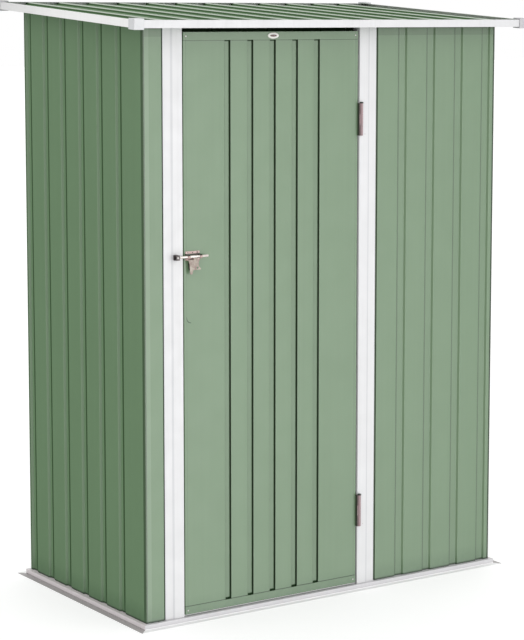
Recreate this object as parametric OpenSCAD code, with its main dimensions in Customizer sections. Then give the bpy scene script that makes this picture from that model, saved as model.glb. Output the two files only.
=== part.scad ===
// Metal tool shed with a single-pitch roof and one hinged door in its front wall.
// Millimetres. +X is to the right of the front, +Z is up, and the front faces -Y.
// The origin is on the ground, under the middle of the roof's outline.

/* [Walls] */
// Width over the wall sheets
wall_w = 1321; // [1100:1:1700]
// Depth over the wall sheets
wall_d = 732; // [600:1:900]
// Thickness of the wall, door and roof sheet
sheet_t = 1; // [0.6:0.1:1.2]
// Distance from one wall groove to the next
groove_pitch = 112.7; // [90:0.1:140]
// Width of a wall groove at the face of the sheet
groove_w = 35; // [25:0.5:45]
// Depth of a wall groove
groove_depth = 6; // [4:0.1:8]
// Flat edge between the last groove and the back corner of a side wall
side_edge = 11; // [8:0.5:20]
// Flat edge between the last groove and the right corner of the front
front_edge = 20; // [15:0.5:30]
// Width of the fold that each side wall turns round the front corner
corner_fold = 5; // [3:0.5:8]
// Open joint between that fold and the front right panel
corner_reveal = 2; // [1:0.5:3]

/* [Doorway] */
// Visible width of the green strip between the left corner and the left jamb
corner_strip_w = 65.5; // [50:0.5:90]
// Width of each white jamb
jamb_w = 65; // [55:0.5:80]
// Width of the doorway between the jambs
doorway_w = 644.5; // [530:0.5:780]
// Width of the raised half of a jamb
jamb_raised_w = 33; // [25:0.5:40]
// Width of the slope between the two halves of a jamb
jamb_slope_w = 6; // [4:0.5:10]
// Height of a jamb's raised half over the wall face
jamb_raise = 4; // [2:0.5:5]
// Depth of the jamb's return into the doorway
jamb_return = 30; // [25:0.5:32]

/* [Door] */
// Height of the door's lower edge over the sill
door_sill_gap = 5; // [5:0.5:10]
// Distance from the door's upper edge up to the front beam
door_head_gap = 11; // [6:0.5:20]
// Gap between the door and the jamb on the latch side
door_latch_gap = 6; // [6:0.5:8]
// Gap between the door and the jamb on the hinge side
door_hinge_gap = 5; // [5:0.5:6]
// Thickness of the door over its channels
door_t = 22; // [18:0.5:24]
// Height of the channels along the top and bottom of the door
door_channel_h = 24; // [20:0.5:30]
// Width of the stiles inside the door's upright edges
door_stile_w = 28; // [20:0.5:40]
// Number of grooves in the door
door_groove_count = 5; // [3:1:5]
// Distance from one door groove to the next
door_groove_pitch = 81.2; // [70:0.1:90]
// Width of a door groove
door_groove_w = 20; // [15:0.5:25]
// Depth of a door groove
door_groove_depth = 6.5; // [4:0.1:8]

/* [Roof] */
// Overhang of the roof in front of the front wall
roof_front_overhang = 77; // [50:1:110]
// Overhang of the roof behind the back wall
roof_back_overhang = 61; // [45:1:110]
// Overhang of the roof at each side wall
roof_side_overhang = 71.5; // [50:0.5:110]
// Height of the underside of the roof's front trim
eave_h = 1772.5; // [1400:0.5:2150]
// Rise of the roof from its front edge to its back edge
roof_rise = 58; // [30:1:90]
// Height of the white trim round the roof
trim_h = 22.5; // [20:0.5:28]
// Width of the trim's lips over and under the roof sheet
trim_lip = 14; // [10:0.5:20]
// Distance from one rib of the roof to the next
roof_rib_pitch = 111.5; // [90:0.5:140]
// Width of a rib
roof_rib_w = 20; // [15:0.5:30]
// Height of a rib over the flat pans
roof_rib_h = 7; // [4:0.5:9]
// Side of the square corner caps
cap_size = 33; // [28:0.5:40]
// Thickness of a cap's outer walls
cap_wall = 2.5; // [1.5:0.1:4]
// Thickness of a cap's top and bottom
cap_plate = 4.5; // [2:0.1:6]

/* [Frame] */
// Height of the base rail's shelf, on which the wall sheets stand
rail_h = 16; // [12:0.5:24]
// Distance from the wall face out to the rail's web
rail_web_out = 12.2; // [8:0.1:18]
// Width of the rail's ground flange beyond its web
rail_flange = 20.6; // [15:0.1:30]
// Height of the rail's inner upstand over its shelf
rail_upstand = 22; // [15:0.5:30]
// Thickness of the rails, posts, beams and jambs
frame_t = 1.2; // [1:0.1:1.5]
// Width of each leg of a corner post
post_leg = 22; // [18:0.5:25]
// Height of the top beams
beam_h = 19; // [16:0.5:24]
// Width of the top beams' flanges
beam_flange = 25; // [24:0.5:30]
// Width of the beam under the middle of the roof
roof_beam_w = 30; // [24:1:40]
// Height of the beam under the middle of the roof
roof_beam_h = 20; // [16:1:25]

/* [Hinges] */
// Height of the middle of the lower hinge
hinge_low_z = 255; // [200:1:320]
// Distance from the door's upper edge down to the middle of the upper hinge
hinge_high_drop = 271; // [200:1:400]
// Length of a hinge
hinge_len = 100; // [80:1:120]
// Outside radius of a hinge barrel
hinge_barrel_r = 5; // [4.5:0.1:5.5]
// Radius of a hinge pin
hinge_pin_r = 2.2; // [1.8:0.1:2.5]
// Distance from the doorway's edge to the hinge pin's axis
hinge_axis_in = 3; // [2:0.1:4]
// Distance from the wall face out to the hinge pin's axis
hinge_axis_out = 9.7; // [9.7:0.1:12]
// Depth of a hinge leaf behind the wall face
hinge_leaf_depth = 20; // [15:0.5:21]
// Thickness of a hinge leaf
hinge_leaf_t = 1.4; // [1:0.1:1.6]

/* [Latch] */
// Height of the bolt's axis
latch_z = 1104; // [900:1:1300]
// Distance from the door's face out to the bolt's axis
bolt_out = 13; // [11:0.5:16]
// Radius of the bolt
bolt_r = 3.5; // [3:0.1:4]
// Length of the bolt's rod
bolt_len = 99; // [95:1:105]
// Distance from the doorway's edge to the keeper
keeper_in = 20.5; // [18:0.5:24]
// Width of the keeper
keeper_w = 12; // [10:0.5:14]
// Height of the keeper
keeper_h = 15.5; // [14:0.5:18]
// Distance from the door's edge to the guide plate
guide_in = 4.5; // [2:0.5:8]
// Width of the guide plate
guide_w = 49; // [48:0.5:56]
// Width of each loop that holds the bolt
guide_loop_w = 7; // [5:0.5:7]
// Thickness of the wall of a loop
guide_loop_t = 2.3; // [2:0.1:3]
// Distance of the guide plate's upper edge over the bolt's axis
guide_top = 15; // [12:0.5:18]
// Distance of the guide plate's lower edge under the bolt's axis
guide_bottom = 12; // [10:0.5:20]
// Width of the tab's neck at the bolt
tab_neck_w = 12; // [10:0.5:12]
// Width of the tab under the loops
tab_w = 36; // [30:0.5:40]
// Distance from the bolt's axis down to the tab's lower edge
tab_drop = 40; // [35:0.5:48]
// Length of the tongue under the tab's lower edge
tongue_len = 13; // [10:0.5:16]
// Radius of the padlock hole
padlock_r = 3.2; // [2.5:0.1:3.5]
// Width of the oval badge
badge_w = 40; // [30:1:50]
// Height of the oval badge
badge_h = 18; // [12:0.5:19]

/* [Clearances] */
// Gap between a seated piece and its seat
seat_gap = 0.2; // [0.1:0.05:0.3]
// Radial clearance of a hinge pin in its knuckle
pin_gap = 0.2; // [0.1:0.05:0.3]
// Gap between the knuckles of a hinge
knuckle_gap = 0.5; // [0.3:0.1:0.8]
// Radial clearance of the bolt in its loops
bolt_gap = 0.4; // [0.3:0.1:0.6]
// Radial clearance of the bolt in its keeper
keeper_gap = 0.8; // [0.6:0.1:1]
// Gap between the end of the drawn bolt and the keeper
bolt_tip_gap = 4; // [3:0.5:5]

/* [Hidden] */
$fn = 48;

// The roof's outline over its corner caps
roof_w = wall_w + 2 * roof_side_overhang;
roof_d = roof_front_overhang + wall_d + roof_back_overhang;

// Places of the wall faces
wall_left = -wall_w / 2;
wall_right = wall_w / 2;
wall_front = -roof_d / 2 + roof_front_overhang;
wall_back = wall_front + wall_d;

// Places across the front
jamb_left_x = wall_left + corner_strip_w;
doorway_left = jamb_left_x + jamb_w;
doorway_right = doorway_left + doorway_w;
jamb_right_x = doorway_right + jamb_w;
jamb_low_w = jamb_w - jamb_raised_w - jamb_slope_w;

// The wall's full depth, and where the frame behind the sheets starts and ends
wall_depth = groove_depth + sheet_t;
frame_in = wall_depth + seat_gap;
post_in = frame_in + frame_t + seat_gap;
beam_end = frame_in + beam_flange;

// The roof is drawn flat, with its underside at z = 0 and its front edge at y = 0
roof_tilt = atan(roof_rise / roof_d);
cap_h = trim_h + 2 * seat_gap + 2 * cap_plate;
cap_below = cap_plate + seat_gap;
cap_above = cap_h - cap_below;
roof_len = (roof_d - cap_h * sin(roof_tilt)) / cos(roof_tilt);
roof_front = -roof_d / 2 + cap_above * sin(roof_tilt);
trim_w = roof_w - 2 * cap_wall;
trim_len = roof_len - 2 * cap_wall;
roof_sheet_top = trim_h - frame_t - seat_gap;
roof_pan_bottom = roof_sheet_top - roof_rib_h - sheet_t;
roof_seat = roof_pan_bottom - seat_gap;
sheet_inset = cap_wall + frame_t + seat_gap;
roof_sheet_w = roof_w - 2 * sheet_inset;
roof_sheet_len = roof_len - 2 * sheet_inset;

// Slopes at the sides of the grooves and ribs
groove_slope = 4;
door_groove_slope = 1.5;
roof_rib_slope = 2;

// Heights of the front and back beams and of what stands under them
front_sheet_top = roof_z(wall_front - jamb_raise, roof_seat);
front_beam_top = roof_z(wall_front + frame_in, roof_seat);
front_beam_bottom = front_beam_top - beam_h;
back_beam_top = roof_z(wall_back - beam_end, roof_seat);
back_beam_bottom = back_beam_top - beam_h;

// The door
door_left = doorway_left + door_latch_gap;
door_right = doorway_right - door_hinge_gap;
door_w = door_right - door_left;
door_bottom = rail_h + door_sill_gap;
door_top = front_beam_bottom - door_head_gap;
door_lip = 1;
door_inside = door_t - 2 * door_lip;

// The hinges and the latch
hinge_x = doorway_right + hinge_axis_in;
hinge_y = wall_front - hinge_axis_out;
hinge_high_z = door_top - hinge_high_drop;
knuckle_len = (hinge_len - 2 * knuckle_gap) / 3;
bolt_y = wall_front - bolt_out;
keeper_right = doorway_left - keeper_in;
bolt_tip = keeper_right + bolt_tip_gap;
guide_left = door_left + guide_in;
guide_plate_t = 2;
guide_loop_r = bolt_r + bolt_gap + guide_loop_t;
badge_t = 1.5;

// The bolt's tab: its places, its slanted sides and its tongue
tab_t = 1.5;
tab_behind_axis = 1;
tab_neck_x = guide_left + 22;
tab_x = guide_left + 8;
tab_top = latch_z - guide_loop_r - 3;
tab_taper = 4;
tab_flare = 5;
tab_flare_h = 12;
tongue_w = 8;
tongue_root_w = 11;
padlock_edge = 3;

// ---- Shared shapes ----

// Height at depth y of a plane that lies h over the roof's underside
function roof_z(y, h) = eave_h + (y - roof_front) * tan(roof_tilt) + h / cos(roof_tilt);

// Number of grooves that fit between two flat edges
function groove_count(len, first, last, width, pitch) =
    max(0, floor((len - first - last - width) / pitch + 0.001) + 1);

// One side of a grooved sheet as [distance along, depth]; thick moves it to the inner side
function groove_line(starts, width, slope, depth, thick) =
    let (shift = thick * (norm([slope, depth]) - slope) / depth)
    [for (s = starts) each [
        [s - shift, thick],
        [s + slope - shift, depth + thick],
        [s + width - slope + shift, depth + thick],
        [s + width + shift, thick]
    ]];

// Outline of a grooved sheet in plan, from distance 0 to len, with its face at depth 0
function sheet_outline(len, starts, width, slope, depth) =
    let (
        outer = groove_line(starts, width, slope, depth, 0),
        inner = groove_line(starts, width, slope, depth, sheet_t),
        last = len(inner) - 1
    )
    concat(
        [[0, 0]],
        outer,
        [[len, 0], [len, sheet_t]],
        [for (i = [0:1:last]) inner[last - i]],
        [[0, sheet_t]]
    );

// Starts of wall grooves, counted back from the far end of a sheet
function wall_grooves(len, first_min, last_edge) =
    let (n = groove_count(len, first_min, last_edge, groove_w, groove_pitch))
    [for (i = [0:1:n - 1]) len - last_edge - groove_w - (n - 1 - i) * groove_pitch];

// Starts of grooves centred on a point
function centred_grooves(centre, n, width, pitch) =
    [for (i = [0:1:n - 1]) centre - width / 2 + (i - (n - 1) / 2) * pitch];

// Places a shape drawn on the flat roof onto the tilted roof
module on_roof() {
    translate([0, roof_front, eave_h]) rotate([roof_tilt, 0, 0]) children();
}

// Extrudes a section drawn in x and z along +y
module along_y(len) {
    translate([0, len, 0]) rotate([90, 0, 0]) linear_extrude(len) children();
}

// Extrudes a section drawn in y and z along +x
module along_x(len) {
    rotate([90, 0, 90]) linear_extrude(len) children();
}

// Cuts a bar that runs along x to a mitre at both ends; its outer edge is at y = -out
module mitred(len, out, in, height) {
    intersection() {
        children();
        translate([0, 0, -height]) linear_extrude(2 * height)
            polygon([
                [-len / 2 - out, -out], [len / 2 + out, -out],
                [len / 2 - in, in], [-len / 2 + in, in]
            ]);
    }
}

// ---- Base rails ----

// Section of a base rail in [distance inward, height]: flange, web, shelf and upstand
module rail_section() {
    translate([-rail_web_out - rail_flange, 0]) square([rail_flange + frame_t, frame_t]);
    translate([-rail_web_out, 0]) square([frame_t, rail_h]);
    translate([-rail_web_out, rail_h - frame_t])
        square([rail_web_out + frame_in + frame_t, frame_t]);
    translate([frame_in, rail_h - frame_t]) square([frame_t, rail_upstand + frame_t]);
}

module base_rail(len) {
    out = rail_web_out + rail_flange;
    color("whitesmoke")
        mitred(len, out, frame_in + frame_t, rail_h + rail_upstand + 1)
            translate([-len / 2 - out, 0, 0]) along_x(len + 2 * out) rail_section();
}

module base_rail_front() {
    color("whitesmoke") difference() {
        translate([0, wall_front, 0]) base_rail(wall_w);
        translate([doorway_left - frame_t, wall_front, rail_h])
            cube([doorway_w + 2 * frame_t, beam_end, rail_upstand + 1]);
    }
}

module base_rail_back() {
    translate([0, wall_back, 0]) rotate([0, 0, 180]) base_rail(wall_w);
}

module base_rail_side(side) {
    translate([side * wall_w / 2, wall_front + wall_d / 2, 0])
        rotate([0, 0, side * 90]) base_rail(wall_d);
}

// ---- Corner posts ----

// An angle whose outer corner is at the origin, with legs along +x and +y
module corner_post(height) {
    color("gainsboro") linear_extrude(height) {
        square([post_leg, frame_t]);
        square([frame_t, post_leg]);
    }
}

module placed_post(left, front) {
    x = (left ? wall_left + post_in : wall_right - post_in);
    y = (front ? wall_front + post_in : wall_back - post_in);
    top = (front ? front_beam_bottom : back_beam_bottom) - seat_gap;
    translate([x, y, rail_h]) mirror([left ? 0 : 1, 0, 0]) mirror([0, front ? 0 : 1, 0])
        corner_post(top - rail_h);
}

// ---- Wall sheets ----

// A side wall, drawn for the left side: it starts at the front corner and turns round it
module side_wall() {
    plain_front = 3 * groove_w;
    starts = wall_grooves(wall_d, plain_front, side_edge);
    sheet = sheet_outline(wall_d, starts, groove_w, groove_slope, groove_depth);
    fold = [[sheet_t, sheet_t], [sheet_t, corner_fold], [0, corner_fold]];
    outline = concat([for (i = [0:1:len(sheet) - 2]) sheet[i]], fold);
    low = rail_h + seat_gap;
    color("darkseagreen") intersection() {
        translate([wall_left, wall_front, low]) linear_extrude(eave_h + 2 * roof_rise)
            polygon([for (p = outline) [p[1], p[0]]]);
        translate([wall_left - 1, 0, 0]) along_x(wall_depth + 2)
            polygon([
                [wall_front - 1, 0], [wall_back + 1, 0],
                [wall_back + 1, roof_z(wall_back + 1, roof_seat)],
                [wall_front - 1, roof_z(wall_front - 1, roof_seat)]
            ]);
    }
}

// One half of the back wall, drawn for the left half
module back_wall_half() {
    len = wall_w / 2 - sheet_t - seat_gap;
    full = groove_count(wall_w, groove_w / 2, groove_w / 2, groove_w, groove_pitch);
    pairs = floor(full / 2);
    starts = [for (i = [pairs - 1:-1:0])
        len - groove_w / 2 - (i + 0.5) * groove_pitch];
    low = rail_h + seat_gap;
    top = roof_z(wall_back - wall_depth, roof_seat);
    color("darkseagreen")
        translate([wall_left + sheet_t + seat_gap, wall_back, low]) mirror([0, 1, 0])
            linear_extrude(top - low)
                polygon(sheet_outline(len, starts, groove_w, groove_slope, groove_depth));
}

module front_corner_panel() {
    low = rail_h + seat_gap;
    start = wall_left + corner_fold + seat_gap;
    color("darkseagreen") translate([start, wall_front, low])
        cube([jamb_left_x + jamb_low_w - start, sheet_t, front_sheet_top - low]);
}

module front_right_panel() {
    low = rail_h + seat_gap;
    start = jamb_right_x - jamb_low_w;
    len = wall_right - corner_fold - corner_reveal - start;
    last_edge = front_edge - corner_fold - corner_reveal;
    starts = wall_grooves(len, jamb_low_w + groove_w, last_edge);
    color("darkseagreen") translate([start, wall_front, low])
        linear_extrude(front_sheet_top - low)
            polygon(sheet_outline(len, starts, groove_w, groove_slope, groove_depth));
}

// ---- Door jambs ----

// Section of a jamb, drawn for the left jamb from its outer edge towards the doorway
module jamb_face() {
    t = frame_t;
    slope_end = jamb_low_w + jamb_slope_w;
    polygon([
        [0, -seat_gap - t], [jamb_low_w, -seat_gap - t], [slope_end, -jamb_raise],
        [jamb_w, -jamb_raise], [jamb_w, frame_in - seat_gap],
        [jamb_w - t, frame_in - seat_gap], [jamb_w - t, t - jamb_raise],
        [slope_end + t / 2, t - jamb_raise], [jamb_low_w + t / 2, -seat_gap], [0, -seat_gap]
    ]);
}

module jamb_return_flange() {
    translate([jamb_w - frame_t, frame_in - seat_gap])
        square([frame_t, jamb_return - frame_in + seat_gap]);
    translate([jamb_raised_w, jamb_return - frame_t])
        square([jamb_w - jamb_raised_w, frame_t]);
}

module jamb() {
    low = rail_h + seat_gap;
    color("white") translate([0, wall_front, low]) {
        linear_extrude(front_sheet_top - low) jamb_face();
        linear_extrude(front_beam_bottom - seat_gap - low) jamb_return_flange();
    }
}

module door_jamb_left() {
    translate([jamb_left_x, 0, 0]) jamb();
}

module door_jamb_right() {
    translate([jamb_right_x, 0, 0]) mirror([1, 0, 0]) jamb();
}

// ---- Top frame ----

// Section of a top beam in [distance inward, height], open towards the inside
module beam_section() {
    square([frame_t, beam_h]);
    square([beam_flange, frame_t]);
    translate([0, beam_h - frame_t]) square([beam_flange, frame_t]);
}

module top_beam_front() {
    start = wall_left + frame_in;
    color("gainsboro") translate([start, wall_front + frame_in, front_beam_bottom])
        along_x(wall_w - 2 * frame_in) beam_section();
}

module top_beam_back() {
    start = wall_left + frame_in;
    color("gainsboro") translate([start, wall_back - frame_in, back_beam_bottom])
        mirror([0, 1, 0]) along_x(wall_w - 2 * frame_in) beam_section();
}

// Distance along the tilted roof to a place at depth y, for a point h over its underside
function roof_v(y, h) = (y - roof_front + h * sin(roof_tilt)) / cos(roof_tilt);

// A side beam, drawn for the left side
module side_beam() {
    start = roof_v(wall_front + beam_end + seat_gap, roof_seat);
    end = roof_v(wall_back - beam_end - seat_gap, roof_seat - beam_h);
    color("gainsboro") on_roof()
        translate([wall_left + frame_in, start, roof_seat - beam_h])
            along_y(end - start) beam_section();
}

// The beam under the joint between the two roof sheets
module roof_beam() {
    start = roof_v(wall_front + beam_end + seat_gap, roof_seat);
    end = roof_v(wall_back - beam_end - seat_gap, roof_seat - roof_beam_h);
    color("gainsboro") on_roof() translate([-roof_beam_w / 2, start, roof_seat - roof_beam_h])
        along_y(end - start) difference() {
            square([roof_beam_w, roof_beam_h]);
            translate([frame_t, frame_t])
                square([roof_beam_w - 2 * frame_t, roof_beam_h - 2 * frame_t]);
        }
}

// ---- Roof ----

// One half of the roof sheet, drawn for the left half: flat pans between raised ribs
module roof_sheet_half() {
    len = roof_sheet_w / 2 - seat_gap / 2;
    full = groove_count(roof_w, roof_rib_w, roof_rib_w, roof_rib_w, roof_rib_pitch);
    pairs = floor((full - 1) / 2);
    starts = [for (i = [pairs - 1:-1:0])
        roof_sheet_w / 2 - roof_rib_w / 2 - (i + 0.5) * roof_rib_pitch];
    color("darkseagreen") on_roof() translate([-roof_sheet_w / 2, sheet_inset, roof_pan_bottom])
        along_y(roof_sheet_len)
            polygon(sheet_outline(len, starts, roof_rib_w, roof_rib_slope, roof_rib_h));
}

// Section of the roof trim in [distance inward, height]
module trim_section() {
    square([frame_t, trim_h]);
    square([trim_lip, frame_t]);
    translate([0, trim_h - frame_t]) square([trim_lip, frame_t]);
}

// A length of trim along x with mitred ends, its outer face at y = 0
module roof_trim(len) {
    color("white") mitred(len, 0, trim_lip, trim_h + 1)
        translate([-len / 2, 0, 0]) along_x(len) trim_section();
}

module roof_trim_front() {
    on_roof() translate([0, cap_wall, 0]) roof_trim(trim_w);
}

module roof_trim_back() {
    on_roof() translate([0, roof_len - cap_wall, 0]) rotate([0, 0, 180]) roof_trim(trim_w);
}

module roof_trim_side(side) {
    on_roof() translate([side * trim_w / 2, roof_len / 2, 0])
        rotate([0, 0, side * 90]) roof_trim(trim_len);
}

// A corner cap, drawn for the front left corner: it slides over the two trims
module roof_cap() {
    inner = cap_wall - seat_gap;
    color("whitesmoke") difference() {
        translate([0, 0, -cap_below]) cube([cap_size, cap_size, cap_h]);
        translate([inner, inner, -seat_gap])
            cube([cap_size, cap_size, trim_h + 2 * seat_gap]);
    }
}

module placed_cap(left, front) {
    on_roof() translate([left ? -roof_w / 2 : roof_w / 2, front ? 0 : roof_len, 0])
        mirror([left ? 0 : 1, 0, 0]) mirror([0, front ? 0 : 1, 0]) roof_cap();
}

// ---- Hinges ----

// Fixed half of one hinge: a leaf on the jamb, two knuckles and the pin
module frame_leaf(middle) {
    low = middle - hinge_len / 2;
    leaf_x = doorway_right - hinge_leaf_t;
    color("silver") difference() {
        union() {
            translate([leaf_x, hinge_y, low])
                cube([hinge_leaf_t, hinge_axis_out + hinge_leaf_depth, hinge_len]);
            translate([hinge_x, hinge_y, low]) cylinder(h = hinge_len, r = hinge_barrel_r);
        }
        translate([hinge_x, hinge_y, low + knuckle_len]) difference() {
            cylinder(h = knuckle_len + 2 * knuckle_gap, r = hinge_barrel_r + knuckle_gap);
            translate([0, 0, -1]) cylinder(h = knuckle_len + 2, r = hinge_pin_r);
        }
    }
}

module hinge_frame_leaves() {
    frame_leaf(hinge_low_z);
    frame_leaf(hinge_high_z);
}

// Moving half of one hinge: a leaf on the door's edge and the middle knuckle
module door_leaf(middle) {
    low = middle - knuckle_len / 2;
    color("silver") {
        translate([door_right, hinge_y - hinge_leaf_t / 2, middle - hinge_len / 2])
            cube([hinge_leaf_t, hinge_axis_out + hinge_leaf_depth, hinge_len]);
        difference() {
            union() {
                translate([hinge_x, hinge_y, low]) cylinder(h = knuckle_len, r = hinge_barrel_r);
                translate([door_right, hinge_y - hinge_leaf_t / 2, low])
                    cube([hinge_x - door_right, hinge_leaf_t, knuckle_len]);
            }
            translate([hinge_x, hinge_y, low - 1])
                cylinder(h = knuckle_len + 2, r = hinge_pin_r + pin_gap);
        }
    }
}

module hinge_door_leaves() {
    door_leaf(hinge_low_z);
    door_leaf(hinge_high_z);
}

// ---- Door ----

module door_skin() {
    starts = centred_grooves(door_w / 2, door_groove_count, door_groove_w, door_groove_pitch);
    outline = sheet_outline(door_w, starts, door_groove_w, door_groove_slope, door_groove_depth);
    low = door_bottom + door_lip + seat_gap;
    color("darkseagreen") translate([door_left, wall_front, low])
        linear_extrude(door_top - door_lip - seat_gap - low) polygon(outline);
}

// A channel along the lower edge of the door, its outer side at z = 0
module door_channel() {
    color("darkseagreen") translate([door_left, wall_front - door_lip, 0])
        along_x(door_w) {
            square([door_t, door_lip]);
            square([door_lip, door_channel_h]);
            translate([door_t - door_lip, 0]) square([door_lip, door_channel_h]);
        }
}

module door_top_channel() {
    translate([0, 0, door_top]) mirror([0, 0, 1]) door_channel();
}

module door_bottom_channel() {
    translate([0, 0, door_bottom]) door_channel();
}

// A stile behind the skin, drawn for the left edge of the door
module door_stile() {
    low = door_bottom + door_lip + seat_gap;
    depth = door_inside - sheet_t - 2 * seat_gap;
    color("darkseagreen") translate([0, wall_front + sheet_t + seat_gap, low])
        linear_extrude(door_top - door_lip - seat_gap - low) {
            square([frame_t, depth]);
            square([door_stile_w, frame_t]);
            translate([0, depth - frame_t]) square([door_stile_w, frame_t]);
        }
}

module door_latch_stile() {
    translate([door_left, 0, 0]) door_stile();
}

module door_hinge_stile() {
    translate([door_right, 0, 0]) mirror([1, 0, 0]) door_stile();
}

// ---- Latch ----

// A cylinder along +x whose axis is the bolt's axis
module bolt_cylinder(x, len, r) {
    translate([x, bolt_y, latch_z]) rotate([0, 90, 0]) cylinder(h = len, r = r);
}

module latch_keeper() {
    face = wall_front - jamb_raise;
    depth = bolt_out - jamb_raise + keeper_h / 2;
    color("silver") difference() {
        translate([keeper_right - keeper_w, face - depth, latch_z - keeper_h / 2])
            cube([keeper_w, depth, keeper_h]);
        bolt_cylinder(keeper_right - keeper_w - 1, keeper_w + 2, bolt_r + keeper_gap);
    }
}

module guide_loop(x) {
    bolt_cylinder(x, guide_loop_w, guide_loop_r);
    translate([x, bolt_y, latch_z - guide_loop_r])
        cube([guide_loop_w, bolt_out - guide_plate_t / 2, 2 * guide_loop_r]);
}

module latch_guide() {
    color("silver") difference() {
        union() {
            translate([guide_left, wall_front - guide_plate_t, latch_z - guide_bottom])
                cube([guide_w, guide_plate_t, guide_top + guide_bottom]);
            guide_loop(guide_left);
            guide_loop(guide_left + guide_w - guide_loop_w);
        }
        bolt_cylinder(guide_left - 1, guide_w + 2, bolt_r + bolt_gap);
    }
}

// The bolt's hanging tab, in [x, z] from its upper left corner
module tab_outline() {
    height = tab_top - latch_z + tab_drop;
    neck = tab_neck_x - tab_x;
    polygon([
        [0, 0], [tab_taper, -height], [tab_taper, -height - tongue_len],
        [tab_taper + tongue_w, -height - tongue_len], [tab_taper + tongue_root_w, -height],
        [tab_w, -height], [tab_w - tab_flare, -height + tab_flare_h], [tab_w, 0],
        [neck + tab_neck_w, 0], [neck + tab_neck_w, latch_z - tab_top],
        [neck, latch_z - tab_top], [neck, 0]
    ]);
}

module latch_bolt() {
    hole_x = tab_x + tab_w - tab_flare - padlock_r;
    hole_z = latch_z - tab_drop + padlock_r + padlock_edge;
    back = bolt_y + tab_behind_axis + tab_t;
    color("rosybrown") {
        bolt_cylinder(bolt_tip, bolt_len, bolt_r);
        difference() {
            translate([tab_x, back, tab_top]) rotate([90, 0, 0])
                linear_extrude(tab_t) tab_outline();
            translate([hole_x, back + tab_t, hole_z]) rotate([90, 0, 0])
                cylinder(h = 3 * tab_t, r = padlock_r);
        }
    }
}

module door_badge() {
    sides = 40;
    oval = [for (i = [0:1:sides - 1])
        [badge_w / 2 * cos(i * 360 / sides), badge_h / 2 * sin(i * 360 / sides)]];
    color("white")
        translate([(door_left + door_right) / 2, wall_front - door_lip,
                   door_top - door_channel_h / 2])
            rotate([90, 0, 0]) linear_extrude(badge_t) polygon(oval);
}

// ---- The pieces ----

base_rail_front();
base_rail_back();
base_rail_side(-1);  // base_rail_left
base_rail_side(1);  // base_rail_right
placed_post(true, true);  // corner_post_front_left
placed_post(false, true);  // corner_post_front_right
placed_post(true, false);  // corner_post_back_left
placed_post(false, false);  // corner_post_back_right
side_wall();  // left_wall
mirror([1, 0, 0]) side_wall();  // right_wall
back_wall_half();  // back_wall_left
mirror([1, 0, 0]) back_wall_half();  // back_wall_right
front_corner_panel();
front_right_panel();
door_jamb_left();
door_jamb_right();
top_beam_front();
top_beam_back();
side_beam();  // top_beam_left
mirror([1, 0, 0]) side_beam();  // top_beam_right
roof_beam();
roof_sheet_half();  // roof_sheet_left
mirror([1, 0, 0]) roof_sheet_half();  // roof_sheet_right
roof_trim_front();
roof_trim_back();
roof_trim_side(-1);  // roof_trim_left
roof_trim_side(1);  // roof_trim_right
placed_cap(true, true);  // roof_cap_front_left
placed_cap(false, true);  // roof_cap_front_right
placed_cap(true, false);  // roof_cap_back_left
placed_cap(false, false);  // roof_cap_back_right
hinge_frame_leaves();
latch_keeper();
door_skin();
door_top_channel();
door_bottom_channel();
door_latch_stile();
door_hinge_stile();
hinge_door_leaves();
latch_guide();
door_badge();
latch_bolt();
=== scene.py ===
"""The looks of a metal tool shed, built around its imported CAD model.

Metres. +X is to the right of the front, +Y runs from the front to the back and +Z is up.
"""

import math

import bmesh
import bpy
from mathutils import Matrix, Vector, noise


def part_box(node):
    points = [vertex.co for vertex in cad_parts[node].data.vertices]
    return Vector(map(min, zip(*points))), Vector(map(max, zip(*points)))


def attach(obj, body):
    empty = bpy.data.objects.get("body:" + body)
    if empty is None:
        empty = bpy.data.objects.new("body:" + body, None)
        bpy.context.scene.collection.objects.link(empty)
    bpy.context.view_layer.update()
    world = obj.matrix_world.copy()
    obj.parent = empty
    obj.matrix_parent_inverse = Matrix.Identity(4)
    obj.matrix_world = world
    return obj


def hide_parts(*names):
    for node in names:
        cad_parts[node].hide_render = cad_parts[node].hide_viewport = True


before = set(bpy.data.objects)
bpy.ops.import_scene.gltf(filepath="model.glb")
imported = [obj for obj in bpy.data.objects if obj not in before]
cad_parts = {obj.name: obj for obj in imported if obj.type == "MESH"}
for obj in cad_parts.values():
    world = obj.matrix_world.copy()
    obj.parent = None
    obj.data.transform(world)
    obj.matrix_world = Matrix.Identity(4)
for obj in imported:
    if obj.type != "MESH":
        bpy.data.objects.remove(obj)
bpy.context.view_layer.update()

MM = 0.001
X, Y, Z = Vector((1, 0, 0)), Vector((0, 1, 0)), Vector((0, 0, 1))

# Sheet metal: thickness of the grooved sheets, radius of their bends on the inner side, how far their
# flats are uneven, and how far a sheet steps back behind a jamb and over what width
SHEET_T = 1 * MM
BEND_R = 1.4 * MM
DOOR_BEND_R = 0.9 * MM
ROOF_BEND_R = 2.2 * MM
WAVE = 0.15 * MM
TUCK_DEPTH = 4 * MM
TUCK_SLOPE = 1.5 * MM

# The roof rises from its front edge to its back edge
ROOF_RISE = 58 * MM
ROOF_DEPTH = 870 * MM
ROOF_TILT = math.atan(ROOF_RISE / ROOF_DEPTH)
ROOF_ALONG = Vector((0, math.cos(ROOF_TILT), math.sin(ROOF_TILT)))
ROOF_DOWN = Vector((0, math.sin(ROOF_TILT), -math.cos(ROOF_TILT)))


# ---- Places from the frame: the corners and the middle of a CAD node's box ----

def low(node):
    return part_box(node)[0]


def high(node):
    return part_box(node)[1]


def middle(node):
    return (low(node) + high(node)) / 2


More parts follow.
